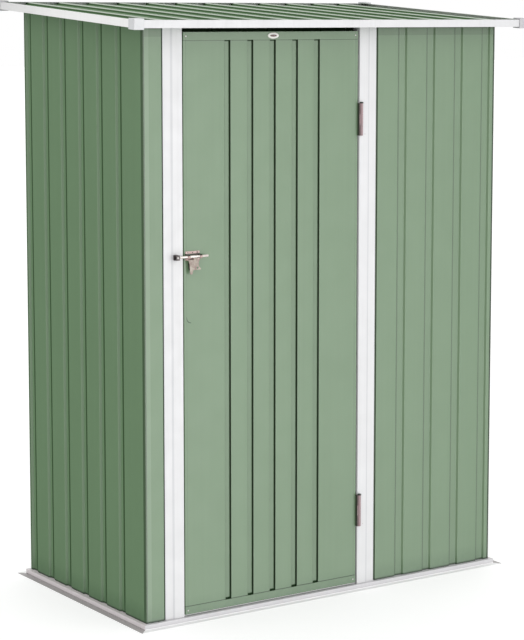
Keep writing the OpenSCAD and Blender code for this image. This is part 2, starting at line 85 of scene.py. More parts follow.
WALL_FRONT = low("door_skin").y
DOOR_LEFT, DOOR_RIGHT = low("door_skin").x, high("door_skin").x
DOOR_BOTTOM, DOOR_TOP = low("door_bottom_channel").z, high("door_top_channel").z
CHANNEL_H = 24 * MM
HINGE_H = 100 * MM
BOLT_R = 3.5 * MM
BOLT_Y = WALL_FRONT - 13 * MM
BOLT_Z = middle("latch_keeper").z


# ---- Camera, floor and light ----

WHITE = (1, 1, 1, 1)


def add_camera():
    """The viewing place, direction and lens of the photograph."""
    data = bpy.data.cameras.new("camera")
    data.sensor_width = 36
    data.lens = 114.46
    data.shift_y = -0.10
    data.clip_end = 200
    camera = bpy.data.objects.new("camera", data)
    bpy.context.scene.collection.objects.link(camera)
    turn = math.radians(34.028)
    drop = math.radians(6.714)
    camera.location = (-3.6587, -5.4111, 1.8057)
    camera.rotation_euler = (math.pi / 2 - drop, 0, -turn)
    bpy.context.scene.camera = camera


def add_floor():
    """A plain pale floor that glows to the world's white and throws no shade on the shed."""
    size = 60
    mesh = bpy.data.meshes.new("floor")
    corners = [(-size, -size, 0), (size, -size, 0), (size, size, 0), (-size, size, 0)]
    mesh.from_pydata(corners, [], [(0, 1, 2, 3)])
    floor = bpy.data.objects.new("floor", mesh)
    bpy.context.scene.collection.objects.link(floor)
    material, shader, _ = new_material("floor_white")
    shader.inputs["Base Color"].default_value = (0.55, 0.55, 0.55, 1)
    shader.inputs["Roughness"].default_value = 0.8
    shader.inputs["Specular IOR Level"].default_value = 0.1
    shader.inputs["Emission Color"].default_value = WHITE
    shader.inputs["Emission Strength"].default_value = 0.56
    mesh.materials.append(material)
    floor.visible_shadow = False
    floor.visible_glossy = False


def add_world():
    """Even white light from above the horizon; the camera sees plain white."""
    world = bpy.data.worlds.new("studio")
    bpy.context.scene.world = world
    world.use_nodes = True
    tree = world.node_tree
    direction = tree.nodes.new("ShaderNodeTexCoord")
    split = tree.nodes.new("ShaderNodeSeparateXYZ")
    link(tree, direction.outputs["Generated"], split.inputs[0])
    above = maths(tree, "GREATER_THAN", split.outputs["Z"], 0.0)
    ray = tree.nodes.new("ShaderNodeLightPath")
    share = remap(tree, ray.outputs["Is Glossy Ray"], 0, 1, 1.0, 0.4)
    lit = tree.nodes["Background"]
    lit.inputs["Color"].default_value = WHITE
    link(tree, maths(tree, "MULTIPLY", above, share), lit.inputs["Strength"])
    seen = tree.nodes.new("ShaderNodeBackground")
    seen.inputs["Color"].default_value = WHITE
    seen.inputs["Strength"].default_value = 1.0
    mix = tree.nodes.new("ShaderNodeMixShader")
    link(tree, ray.outputs["Is Camera Ray"], mix.inputs[0])
    link(tree, lit.outputs[0], mix.inputs[1])
    link(tree, seen.outputs[0], mix.inputs[2])
    link(tree, mix.outputs[0], tree.nodes["World Output"].inputs["Surface"])


def add_sun(name, toward, strength, angle, gloss_only=False):
    """A sun that lies toward a direction, angle degrees wide; gloss_only lights only reflections."""
    data = bpy.data.lights.new(name, "SUN")
    data.energy = strength
    data.angle = math.radians(angle)
    light = bpy.data.objects.new(name, data)
    light.rotation_euler = Vector(toward).to_track_quat("Z", "Y").to_euler()
    light.visible_diffuse = not gloss_only
    bpy.context.scene.collection.objects.link(light)


def add_lights():
    """A wide soft light from the front right, one from behind, and a large reflector for the gloss."""
    add_sun("key_light", (0.56, -0.80, 0.30), 0.3, 40)
    add_sun("back_light", (0.55, 0.75, 0.55), 0.4, 60)
    add_sun("gloss_light", (0.33, -0.94, -0.13), 4.2, 40, gloss_only=True)


# ---- Materials ----

GREEN = (0.135, 0.225, 0.122)
# Painted light: the front panels' groove slopes, lighter than the flats
SLOPE_PAINTED_LIGHT = (0.155, 0.25, 0.135)
# Painted highlight on crests, rib tops and the front corner panel's edge
HIGHLIGHT_GREEN = (0.80, 0.84, 0.78)
# Darker, greener colour towards the ground
LOW_DARK_GREEN = (0.07, 0.14, 0.07)
# Painted shade along the sheets' bottom edges
FOOT_SHADE = (0.02, 0.035, 0.02)
RAIN_GREY = (0.42, 0.42, 0.40)
GROUND_GREY = (0.42, 0.38, 0.38)
# Painted shade in the jambs' creases, along a jamb's edge and along the top of the base rails
PAINTED_SHADE_GREY = (0.36, 0.37, 0.40)
RUST = (0.36, 0.13, 0.10)
BRIGHT_SCRATCH = (0.82, 0.80, 0.78)
JOINT_SHADE = (0.06, 0.065, 0.05)


def new_material(name):
    """A material, its shader and its node tree."""
    material = bpy.data.materials.new(name)
    material.use_nodes = True
    tree = material.node_tree
    shader = tree.nodes["Principled BSDF"]
    return material, shader, tree


def link(tree, source, target):
    tree.links.new(source, target)


def object_place(tree, scale=(1, 1, 1)):
    """Object coordinates, stretched by scale."""
    place = tree.nodes.new("ShaderNodeTexCoord")
    mapping = tree.nodes.new("ShaderNodeMapping")
    mapping.inputs["Scale"].default_value = scale
    link(tree, place.outputs["Object"], mapping.inputs["Vector"])
    return mapping.outputs["Vector"]


def noise_value(tree, scale, detail, stretch=(1, 1, 1), roughness=0.55):
    """Noise about 0.5, with scale features a metre."""
    node = tree.nodes.new("ShaderNodeTexNoise")
    node.inputs["Scale"].default_value = scale
    node.inputs["Detail"].default_value = detail
    node.inputs["Roughness"].default_value = roughness
    link(tree, object_place(tree, stretch), node.inputs["Vector"])
    return node.outputs["Fac"]


def remap(tree, value, from_low, from_high, to_low, to_high):
    """A value carried from one range to another, and held at the ends of the new one."""
    node = tree.nodes.new("ShaderNodeMapRange")
    node.inputs["From Min"].default_value = from_low
    node.inputs["From Max"].default_value = from_high
    node.inputs["To Min"].default_value = to_low
    node.inputs["To Max"].default_value = to_high
    link(tree, value, node.inputs["Value"])
    return node.outputs["Result"]


def maths(tree, operation, *values):
    """One calculation on values or sockets."""
    node = tree.nodes.new("ShaderNodeMath")
    node.operation = operation
    for socket, value in zip(node.inputs, values):
        if isinstance(value, (int, float)):
            socket.default_value = value
        else:
            link(tree, value, socket)
    return node.outputs[0]


def mixed(tree, factor, a, b):
    """Colour a blended towards colour b; each of the three is a value or a socket."""
    node = tree.nodes.new("ShaderNodeMix")
    node.data_type = "RGBA"
    for socket, value in ((node.inputs[0], factor), (node.inputs[6], a), (node.inputs[7], b)):
        if isinstance(value, tuple):
            socket.default_value = (*value, 1)
        elif isinstance(value, (int, float)):
            socket.default_value = value
        else:
            link(tree, value, socket)
    return node.outputs[2]


def shaded(colour, share):
    """A colour made darker or lighter."""
    return tuple(c * share for c in colour)


def in_shade(colour, share):
    """A paint's colour in the shade, a little greener than in full light."""
    return tuple(c * share * part for c, part in zip(colour, (0.85, 1.15, 0.75)))


def attribute(tree, name):
    """A value that the mesh carries at its points."""
    node = tree.nodes.new("ShaderNodeAttribute")
    node.attribute_name = name
    return node.outputs["Fac"]


def bump(tree, shader, height, distance, strength):
    """Fine relief from a height value."""
    node = tree.nodes.new("ShaderNodeBump")
    node.inputs["Strength"].default_value = strength
    node.inputs["Distance"].default_value = distance
    link(tree, height, node.inputs["Height"])
    link(tree, node.outputs["Normal"], shader.inputs["Normal"])


def place_along(tree, axis):
    """The place along X, Y or Z, in metres."""
    place = tree.nodes.new("ShaderNodeTexCoord")
    split = tree.nodes.new("ShaderNodeSeparateXYZ")
    link(tree, place.outputs["Object"], split.inputs[0])
    return split.outputs[axis]


def band(tree, axis, centre, half):
    """1 within half of a place along an axis, else 0."""
    return maths(tree, "COMPARE", place_along(tree, axis), centre, half)


def painted(name, colour, groove_shading, crest_highlight_strength, specular=0.3, roughness=0.42, lines=(), highlight_band=None):
    """Coated sheet steel: faint mottling and streaks, orange peel, darker and greener towards the ground,
    and painted shade along the sheets' bottom edges.

    The mesh's attributes say where it takes painted shading in its grooves (painted shade, and on the front
    panels' slopes painted light), a painted highlight on a crest, and painted shade at a seam. Lines are
    bands of painted shade (axis, centre, half width, strength, whether only in grooves), and the highlight
    band is a band of painted highlight (axis, centre, half width, strength).
    """
    material, shader, tree = new_material(name)
    mottle = noise_value(tree, 7, 4)
    streak = noise_value(tree, 1, 3, stretch=(70, 70, 1.2))
    tone = remap(tree, maths(tree, "ADD", mottle, streak), 0.6, 1.4, 0, 1)
    base = mixed(tree, tone, shaded(colour, 0.97), shaded(colour, 1.03))
    # Painted shading in the grooves: shade on slopes and floors, and painted light on the front panels'
    # slopes
    deep = mixed(tree, attribute(tree, "groove"), base, groove_shading)
    # Painted highlight on crests and on the parts that stand out
    crest_highlight = maths(tree, "MULTIPLY", attribute(tree, "crest_highlight"), crest_highlight_strength)
    highlighted = mixed(tree, crest_highlight, deep, HIGHLIGHT_GREEN)
    # Painted shade at seams: behind the jambs, at a fold and along thin groove lines
    seam_shaded = mixed(tree, attribute(tree, "seam_shade"), highlighted, shaded(colour, 0.14))
    shine = specular
    # Bands of painted shade, with less shine where they lie in grooves
    for axis, centre, half, strength, in_grooves in lines:
        mask = maths(tree, "MULTIPLY", band(tree, axis, centre, half), strength)
        if in_grooves:
            mask = maths(tree, "MULTIPLY", mask, attribute(tree, "recess"))
            shine = maths(tree, "MULTIPLY", remap(tree, mask, 0, 1, 1, 0), shine)
        seam_shaded = mixed(tree, mask, seam_shaded, in_shade(colour, 0.12))
    # A band of painted highlight
    if highlight_band:
        mask = maths(tree, "MULTIPLY", band(tree, *highlight_band[:3]), highlight_band[3])
        seam_shaded = mixed(tree, mask, seam_shaded, HIGHLIGHT_GREEN)
    # Darker and greener towards the ground, broken by noise
    near_ground = remap(tree, place_along(tree, "Z"), 16 * MM, 75 * MM, 0.6, 0.0)
    low_darkening = maths(tree, "MULTIPLY", near_ground, remap(tree, noise_value(tree, 55, 4), 0.3, 0.7, 0.55, 1))
    low_darkened = mixed(tree, low_darkening, seam_shaded, LOW_DARK_GREEN)
    # Painted shade along the sheets' bottom edges, where they stand on the rail
    foot = remap(tree, place_along(tree, "Z"), 18 * MM, 23.5 * MM, 0.85, 0.0)
    link(tree, mixed(tree, foot, low_darkened, FOOT_SHADE), shader.inputs["Base Color"])
    rough = remap(tree, noise_value(tree, 18, 5), 0.3, 0.7, roughness - 0.015, roughness + 0.02)
    link(tree, rough, shader.inputs["Roughness"])
    if shine is specular:
        shader.inputs["Specular IOR Level"].default_value = specular
    else:
        link(tree, shine, shader.inputs["Specular IOR Level"])
    bump(tree, shader, noise_value(tree, 650, 2), 0.06 * MM, 0.5)
    return material


def white_coat(name, colour, dirt_and_shade_colour, ground_dirt=0.25, flange_shading=None, lines=(), rust=None,
               shade_from=None):
    """White coated steel with faint rain streaks and dust near the ground.

    The flange on the ground may take painted shading of its own: painted light on the front and back
    rails, painted shade on the side rails. Lines are bands of painted shade (axis, centre, half width,
    strength); rust is a stained band (z, half, x, half); behind a given place along Y the coat takes
    painted shade that deepens towards the back.
    """
    material, shader, tree = new_material(name)
    mottle = noise_value(tree, 9, 4)
    base = mixed(tree, remap(tree, mottle, 0.3, 0.7, 0, 1), shaded(colour, 0.975), shaded(colour, 1.02))
    streak = remap(tree, noise_value(tree, 1, 3, stretch=(120, 120, 2)), 0.5, 0.75, 0, 0.1)
    run = mixed(tree, streak, base, dirt_and_shade_colour)
    near_ground = remap(tree, place_along(tree, "Z"), 0.0, 60 * MM, ground_dirt, 0.0)
    dusty = maths(tree, "MULTIPLY", near_ground, remap(tree, noise_value(tree, 40, 5), 0.35, 0.7, 0.3, 1))
    dusted = mixed(tree, dusty, run, dirt_and_shade_colour)
    # Bands of painted shade
    for axis, centre, half, strength in lines:
        mask = maths(tree, "MULTIPLY", band(tree, axis, centre, half), strength)
        dusted = mixed(tree, mask, dusted, PAINTED_SHADE_GREY)
    if rust:
        stain = maths(tree, "MULTIPLY", band(tree, "Z", *rust[:2]), band(tree, "X", *rust[2:]))
        broken = remap(tree, noise_value(tree, 9, 3), 0.35, 0.65, 0.3, 0.9)
        dusted = mixed(tree, maths(tree, "MULTIPLY", stain, broken), dusted, RUST)
    # Painted shade that deepens towards the back
    if shade_from is not None:
        back_shade = remap(tree, place_along(tree, "Y"), shade_from, high("roof_trim_left").y, 0.0, 0.5)
        dusted = mixed(tree, back_shade, dusted, dirt_and_shade_colour)
    # The flange on the ground takes painted shading of its own
    if flange_shading:
        at_ground = maths(tree, "LESS_THAN", place_along(tree, "Z"), FLANGE_TOP)
        dusted = mixed(tree, at_ground, dusted, flange_shading)
    link(tree, dusted, shader.inputs["Base Color"])
    rough = remap(tree, noise_value(tree, 25, 4), 0.3, 0.7, 0.32, 0.48)
    link(tree, rough, shader.inputs["Roughness"])
    shader.inputs["Specular IOR Level"].default_value = 0.22
    bump(tree, shader, noise_value(tree, 600, 2), 0.06 * MM, 0.4)
    return material


def galvanised(name):
    """Galvanised steel: grey spangle with a soft sheen."""
    material, shader, tree = new_material(name)
    cells = tree.nodes.new("ShaderNodeTexVoronoi")
    cells.inputs["Scale"].default_value = 70
    link(tree, object_place(tree), cells.inputs["Vector"])
    grey = tree.nodes.new("ShaderNodeSeparateColor")
    link(tree, cells.outputs["Color"], grey.inputs[0])
    base = mixed(tree, grey.outputs[0], (0.50, 0.52, 0.54), (0.72, 0.73, 0.74))
    cloud = remap(tree, noise_value(tree, 12, 4), 0.45, 0.75, 0, 0.35)
    link(tree, mixed(tree, cloud, base, (0.78, 0.78, 0.77)), shader.inputs["Base Color"])
    shader.inputs["Metallic"].default_value = 0.85
    link(tree, remap(tree, grey.outputs[1], 0, 1, 0.32, 0.52), shader.inputs["Roughness"])
    bump(tree, shader, noise_value(tree, 420, 3), 0.05 * MM, 0.4)
    return material


def moulded_plastic(name, colour):
    """Moulded plastic with a fine grain."""
    material, shader, tree = new_material(name)
    tone = remap(tree, noise_value(tree, 30, 3), 0.3, 0.7, 0, 1)
    link(tree, mixed(tree, tone, shaded(colour, 0.95), shaded(colour, 1.03)), shader.inputs["Base Color"])
    link(tree, remap(tree, noise_value(tree, 90, 3), 0.3, 0.7, 0.44, 0.56), shader.inputs["Roughness"])
    bump(tree, shader, noise_value(tree, 1500, 2), 0.08 * MM, 0.5)
    return material


def plated(name, colour, tint, metallic=0.05, scratches=0.5, dark_band=None):
    """Dull plated steel: a warm tint in patches, fine scratches and handling marks.

    The dark band (axis, centre, half width) is a joint in shade.
    """
    material, shader, tree = new_material(name)
    patch = remap(tree, noise_value(tree, 60, 5), 0.38, 0.65, 0, 1)
    base = mixed(tree, patch, colour, tint)
    fine = noise_value(tree, 90, 6, stretch=(1, 1, 14), roughness=0.7)
    worn = mixed(tree, remap(tree, fine, 0.62, 0.7, 0, scratches), base, BRIGHT_SCRATCH)
    if dark_band:
        worn = mixed(tree, band(tree, *dark_band), worn, JOINT_SHADE)
    link(tree, worn, shader.inputs["Base Color"])
    shader.inputs["Metallic"].default_value = metallic
    shader.inputs["Specular IOR Level"].default_value = 0.15
    link(tree, remap(tree, noise_value(tree, 140, 4), 0.3, 0.7, 0.26, 0.48), shader.inputs["Roughness"])
    bump(tree, shader, noise_value(tree, 800, 3), 0.05 * MM, 0.45)
    return material


def gloss_plastic(name, colour):
    """Smooth plastic with a thin clear coat."""
    material, shader, tree = new_material(name)
    tone = remap(tree, noise_value(tree, 45, 3), 0.3, 0.7, 0, 1)
    link(tree, mixed(tree, tone, shaded(colour, 0.96), shaded(colour, 1.02)), shader.inputs["Base Color"])
    link(tree, remap(tree, noise_value(tree, 120, 3), 0.3, 0.7, 0.16, 0.3), shader.inputs["Roughness"])
    shader.inputs["Specular IOR Level"].default_value = 0.2
    shader.inputs["Coat Weight"].default_value = 0.05
    bump(tree, shader, noise_value(tree, 300, 2), 0.03 * MM, 0.3)
    return material


# Bands of painted shade: at the door's hems and lips, in the creases and along the edge of the jambs,
# at the side walls' front and back edges, under the roof's trim and along the top of the base rails
HEM = 9 * MM
LIP_LOW, LIP_HIGH = DOOR_BOTTOM + CHANNEL_H, DOOR_TOP - CHANNEL_H

SIDE_SHADE_LINES = (
    ("Y", WALL_FRONT + 6 * MM, 6.5 * MM, 0.6, False),
    ("Y", high("left_wall").y - 5 * MM, 4 * MM, 0.45, False),
)
TRIM_FOOT = low("roof_trim_front").z
FRONT_SHADE_LINES = (
    ("Z", TRIM_FOOT - 11 * MM, 14 * MM, 0.22, False),
    ("Z", TRIM_FOOT - 1 * MM, 2 * MM, 0.6, False),
    ("X", low("door_jamb_left").x - 1.5 * MM, 2 * MM, 0.6, False),
)
DOOR_SHADE_LINES = (
    ("Z", LIP_LOW + 1 * MM, 1.2 * MM, 0.8, False),
    ("Z", LIP_HIGH - 1 * MM, 1.0 * MM, 0.55, False),
    ("Z", LIP_LOW, 5 * MM, 1.0, True),
    ("Z", LIP_HIGH, 4 * MM, 0.8, True),
    ("X", DOOR_LEFT + HEM, 0.8 * MM, 0.25, False),
    ("X", DOOR_RIGHT - HEM, 0.8 * MM, 0.25, False),
)

JAMB_SHADE_LINES = (
    ("X", low("door_jamb_left").x + 29 * MM, 3 * MM, 0.3),
    ("X", high("door_jamb_right").x - 29 * MM, 3 * MM, 0.3),
    ("X", low("door_jamb_left").x + 1 * MM, 1.5 * MM, 0.35),
)
RAIL_TOP = high("base_rail_front").z
FLANGE_TOP = 3.5 * MM
RAIL_SHADE_LINES = (("Z", RAIL_TOP, 1.6 * MM, 0.5),)

MATERIALS = {
    # The greens share one paint and differ in painted shading: groove shade, bands of painted shade,
    # painted highlights on crests, and on the front lighter slopes and a band of painted highlight
    "green_sheet": painted("green_sheet", GREEN, in_shade(GREEN, 0.5), crest_highlight_strength=0.1),
    "side_green": painted("side_green", GREEN, in_shade(GREEN, 0.36), crest_highlight_strength=0.1, lines=SIDE_SHADE_LINES),
    "front_green": painted("front_green", GREEN, SLOPE_PAINTED_LIGHT, crest_highlight_strength=0.06, lines=FRONT_SHADE_LINES,
                           highlight_band=("X", low("front_corner_panel").x + 7 * MM, 7.5 * MM, 0.06)),
    "door_green": painted("door_green", GREEN, in_shade(GREEN, 0.12), crest_highlight_strength=0.05, lines=DOOR_SHADE_LINES),
    "roof_green": painted("roof_green", GREEN, in_shade(GREEN, 0.5), crest_highlight_strength=0.75, specular=0.05,
                          roughness=0.7),
    "white_trim": white_coat("white_trim", (0.70, 0.70, 0.71), RAIN_GREY),
    "jamb_white": white_coat("jamb_white", (0.71, 0.71, 0.72), RAIN_GREY, lines=JAMB_SHADE_LINES),
    # The side trims: a lighter copy of the white, painted light, with painted shade towards the back
    "side_trim_white": white_coat("side_trim_white", (0.83, 0.83, 0.82), (0.50, 0.50, 0.50),
                                  shade_from=middle("roof_trim_left").y),
    # The base rails' flanges take painted light at the front and back, painted shade at the sides
    "rail_white": white_coat("rail_white", (0.66, 0.65, 0.67), (0.42, 0.39, 0.38), ground_dirt=0.12,
                             flange_shading=(0.92, 0.92, 0.92), lines=RAIL_SHADE_LINES,
                             rust=(RAIL_TOP - 0.5 * MM, 3 * MM, (DOOR_LEFT + DOOR_RIGHT) / 2, 0.29)),
    "side_rail_white": white_coat("side_rail_white", (0.74, 0.69, 0.70), GROUND_GREY,
                                  ground_dirt=0.12, flange_shading=(0.40, 0.38, 0.38), lines=RAIL_SHADE_LINES),
    "galvanised": galvanised("galvanised"),
    "cap_plastic": moulded_plastic("cap_plastic", (0.62, 0.63, 0.64)),
    "cap_grey": moulded_plastic("cap_grey", (0.46, 0.45, 0.47)),
    "hinge_steel": plated("hinge_steel", (0.36, 0.25, 0.26), (0.33, 0.24, 0.25),
                          dark_band=("X", DOOR_RIGHT + 0.2 * MM, 0.5 * MM)),
    "hinge_dark": plated("hinge_dark", (0.07, 0.07, 0.065), (0.05, 0.06, 0.05), metallic=0.2,
                         scratches=0.1),
    "latch_steel": plated("latch_steel", (0.34, 0.30, 0.25), (0.20, 0.14, 0.12)),
    "guide_steel": plated("guide_steel", (0.56, 0.43, 0.40), (0.40, 0.26, 0.24),
                          dark_band=("Z", BOLT_Z + 5.5 * MM, 2.6 * MM)),
    "latch_dark": plated("latch_dark", (0.06, 0.045, 0.045), (0.045, 0.04, 0.04), metallic=0.2,
                         scratches=0.1),
    "rod_steel": plated("rod_steel", (0.86, 0.82, 0.77), (0.72, 0.64, 0.60), metallic=0.1),
    "rivet_steel": plated("rivet_steel", (0.60, 0.58, 0.56), (0.5, 0.48, 0.46), metallic=0.1),
    "scuff_dark": plated("scuff_dark", (0.05, 0.085, 0.05), (0.09, 0.14, 0.085), metallic=0.0,
                         scratches=0.2),
    "badge_plastic": gloss_plastic("badge_plastic", (0.72, 0.71, 0.66)),
    "badge_inlay": gloss_plastic("badge_inlay", (0.13, 0.065, 0.06)),
}


# ---- Mesh helpers ----

def place_piece(mesh, name, body, slot, material=None, replaced=()):
    """Links a finished mesh as a piece that rides on a body and takes a slot's finish."""
    mesh.materials.clear()
    mesh.materials.append(MATERIALS[material or slot])
    piece = bpy.data.objects.new(name, mesh)
    bpy.context.scene.collection.objects.link(piece)
    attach(piece, body)
    if replaced:
        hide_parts(*replaced)
    return piece


def smooth(mesh, degrees=35):
    """Smooth shading, with creases sharper than the given angle kept sharp."""
    mesh.shade_smooth()
    mesh.set_sharp_from_angle(angle=math.radians(degrees))


def place_bmesh(bm, name, body, slot, material=None, replaced=()):
    """Turns a closed bmesh into a piece."""
    bmesh.ops.recalc_face_normals(bm, faces=bm.faces)
    mesh = bpy.data.meshes.new(name)
    bm.to_mesh(mesh)
    bm.free()
    smooth(mesh)
    place_piece(mesh, name, body, slot, material, replaced)


def lathe(bm, centre, axis, profile, sides=20):
    """A round solid about an axis through centre; profile lists (radius, distance along the axis)."""
    side = axis.orthogonal().normalized()
    other = axis.cross(side)
    turns = [2 * math.pi * k / sides for k in range(sides)]
    rings = []
    for radius, along in profile:
        spot = centre + axis * along
        ring = [spot + (side * math.cos(a) + other * math.sin(a)) * radius for a in turns]
        rings.append([bm.verts.new(p) for p in (ring if radius else [spot])])
    for first, second in zip(rings, rings[1:]):
        for k in range(sides):
            n = (k + 1) % sides
            around = (first[k % len(first)], first[n % len(first)],
                      second[n % len(second)], second[k % len(second)])
            bm.faces.new(list(dict.fromkeys(around)))


def dome(bm, centre, axis, radius, height):
    """A rivet or screw head that stands on a surface."""
    lathe(bm, centre, axis, [(0, -0.4 * MM), (radius, -0.4 * MM), (radius, 0.15 * MM),
                             (0.88 * radius, 0.6 * height), (0.5 * radius, 0.92 * height), (0, height)])


def plate(bm, outline, holes, back, front):
    """A flat plate parallel to the front wall, from its outline and holes in (x, z)."""
    edges = []
    for loop in [outline] + holes:
        corners = [bm.verts.new((x, back, z)) for x, z in loop]
        edges += [bm.edges.new((a, b)) for a, b in zip(corners, corners[1:] + corners[:1])]
    filled = bmesh.ops.triangle_fill(bm, edges=edges, use_beauty=True)["geom"]
    faces = [f for f in filled if isinstance(f, bmesh.types.BMFace)]
    out = bmesh.ops.extrude_face_region(bm, geom=faces)["geom"]
    moved = [v for v in out if isinstance(v, bmesh.types.BMVert)]
    bmesh.ops.translate(bm, vec=(0, front - back, 0), verts=moved)


def weigh_normals(piece):
    """Normals that follow the larger faces, so that flats stay flat beside rounded edges."""
    weigh = piece.modifiers.new("weigh_normals", "WEIGHTED_NORMAL")
    weigh.keep_sharp = True
    weigh.weight = 80


def whole_faces(node):
    """A CAD node's mesh with its corners merged and its flat faces whole."""
    bm = bmesh.new()
    bm.from_mesh(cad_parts[node].data)
    bmesh.ops.remove_doubles(bm, verts=bm.verts, dist=0.005 * MM)
    bmesh.ops.dissolve_limit(bm, angle_limit=math.radians(0.5), verts=bm.verts, edges=bm.edges)
    return bm


def finish_node(node, body, slot, width=0.35 * MM, segments=2, degrees=30, material=None):
    """A CAD node with its edges rounded, in place of the plain one."""
    bm = whole_faces(node)
    bm.normal_update()
    edges = [e for e in bm.edges if e.is_manifold and e.calc_face_angle() > math.radians(degrees)]
    bmesh.ops.bevel(bm, geom=edges, offset=width, segments=segments, profile=0.6,
                    affect="EDGES", clamp_overlap=True)
    mesh = bpy.data.meshes.new(node + "_finished")
    bm.to_mesh(mesh)
    bm.free()
    smooth(mesh)
    piece = place_piece(mesh, node + "_finished", body, slot, material, replaced=[node])
    weigh_normals(piece)


# ---- Grooved sheets ----

def end_corners(bm, up):
    """Corners, in order, of the end face that lies lowest along up."""
    faces = [f for f in bm.faces if f.normal.dot(up) < -0.99]
    lowest = min(faces, key=lambda f: f.calc_center_median().dot(up))
    return [v.co.copy() for v in lowest.verts]


def far_plane(bm, up):
    """A point and the normal of the end face that lies highest along up."""
    faces = [f for f in bm.faces if f.normal.dot(up) > 0.9]
    highest = max(faces, key=lambda f: f.calc_center_median().dot(up))
    return highest.calc_center_median(), highest.normal.copy()


def outer_chain(corners):
    """The corners along the face of a sheet, from one cut edge to the other."""
    n = len(corners)
    ends = [i for i in range(n)
            if abs((corners[i] - corners[(i + 1) % n]).length - SHEET_T) < 0.02 * MM]
    first, second = ends[0], ends[1]
    chains = [
        [corners[(first + 1 + k) % n] for k in range((second - first) % n)],
        [corners[(second + 1 + k) % n] for k in range((first - second) % n)],
    ]
    return sorted(chains, key=lambda c: sum(p.y for p in c) / len(c))


def turned(vector, angle):
    """A flat vector turned anticlockwise."""
    c, s = math.cos(angle), math.sin(angle)
    return Vector((vector.x * c - vector.y * s, vector.x * s + vector.y * c))


def bent_line(corners, side, radius, spacing, steps=4):
    """Points along a bent sheet's face as (point, normal to the inner side, swell, crest highlight).

    Bends are arcs, and long flats get extra points. Swell is 0 at a bend and 1 in the middle
    of a flat. The crest highlight, a painted highlight, is 1 on bends that stand out towards the face.
    """
    line = []
    last = len(corners) - 1
    flat_start = corners[0]
    for i in range(1, last + 1):
        before = (corners[i] - corners[i - 1]).normalized()
        left = Vector((-before.y, before.x))
        arc = []
        flat_end = corners[i]
        if i < last:
            after = (corners[i + 1] - corners[i]).normalized()
            turn = math.atan2(before.cross(after), before.dot(after))
            inward = turn * side > 0
            r = radius + SHEET_T if inward else radius
            way = 1 if turn > 0 else -1
            flat_end = corners[i] - before * r * math.tan(abs(turn) / 2)
            centre = flat_end + left * r * way
            for k in range(steps + 1):
                normal = turned(left, turn * k / steps)
                stands_out = inward and 0 < k < steps
                arc.append((centre - normal * r * way, normal * side, 0.0, 1.0 if stands_out else 0.0))
        length = (flat_end - flat_start).length
        count = max(1, round(length / spacing))
        for k in range(count + 1):
            inside = 0 < k < count
            if inside or (i == 1 and k == 0) or (i == last and k == count):
                share = k / count
                swell = math.sin(math.pi * share) if length > 2.5 * spacing else 0.0
                line.append((flat_start.lerp(flat_end, share), left * side, swell, 0.0))
        line += arc
        if arc:
            flat_start = arc[-1][0]
    return line


def tucked(line, place):
    """A sheet's face line that steps back behind the jamb's edge at a place along it."""
    back = Vector((0, TUCK_DEPTH))
    if place > (line[0].x + line[-1].x) / 2:
        return line[:-1] + [Vector((place - TUCK_SLOPE, line[-1].y)), Vector((place, line[-1].y)) + back,
                            line[-1] + back]
    return [line[0] + back, Vector((place, line[0].y)) + back,
            Vector((place + TUCK_SLOPE, line[0].y))] + line[1:]


def in_tuck(x, line, place):
    """Whether a place along a tucked line lies behind the jamb."""
    if place > (line[0].x + line[-1].x) / 2:
        return x > place - TUCK_SLOPE + 0.1 * MM
    return x < place + TUCK_SLOPE - 0.1 * MM


def steepness(slant):
    """How strongly painted groove shading is applied: 0 on a flat and 1 on a steep slope."""
    return min(1.0, max(0.0, slant - 0.2) * 1.9)


def shaded_floors(line, reach):
    """The line with each groove's floor split and its first part in painted shade from the slope before it.

    The slope after the floor takes a painted highlight. Returns the line and how much painted shade each
    point takes.
    """
    points, shade = [], []
    for i, (point, normal, swell, crest_highlight) in enumerate(line):
        falls, rises = normal.x < -0.2, normal.x > 0.2
        points.append((point, normal, swell, max(crest_highlight, 0.9 if rises else 0.0)))
        shade.append(1.0 if falls else 0.0)
        follows_slope = i > 0 and line[i - 1][1].x < -0.2 and not falls
        if follows_slope and i + 1 < len(line):
            shade[-1] = 1.0
            ahead = (line[i + 1][0] - point).normalized()
            for distance, value in ((reach, 1.0), (reach + 0.8 * MM, 0.0)):
                points.append((point + ahead * distance, normal, 0.0, 0.0))
                shade.append(value)
    return points, shade


def face_line(flat):
    """A sheet's face corners from one cut edge to the other, and the side that its thickness lies on."""
    outer, inner = outer_chain(flat)
    if outer[0].x > outer[-1].x:
        outer.reverse()
    across = min(inner, key=lambda p: (p - outer[0]).length) - outer[0]
    start = (outer[1] - outer[0]).normalized()
    return outer, 1 if start.cross(across) > 0 else -1


def sheet_faces(n, rows):
    """The faces of a closed sheet of two layers, each n points across and rows faces long."""
    def at(layer, i, j):
        return (layer * n + i) * (rows + 1) + j
    faces = []
    for i in range(n - 1):
        for j in range(rows):
            faces.append((at(0, i, j), at(0, i + 1, j), at(0, i + 1, j + 1), at(0, i, j + 1)))
            faces.append((at(1, i, j), at(1, i, j + 1), at(1, i + 1, j + 1), at(1, i + 1, j)))
        faces.append((at(0, i, 0), at(1, i, 0), at(1, i + 1, 0), at(0, i + 1, 0)))
        faces.append((at(0, i, rows), at(0, i + 1, rows), at(1, i + 1, rows), at(1, i, rows)))
    for j in range(rows):
        faces.append((at(0, 0, j), at(0, 0, j + 1), at(1, 0, j + 1), at(1, 0, j)))
        faces.append((at(0, n - 1, j), at(1, n - 1, j), at(1, n - 1, j + 1), at(0, n - 1, j + 1)))
    return faces


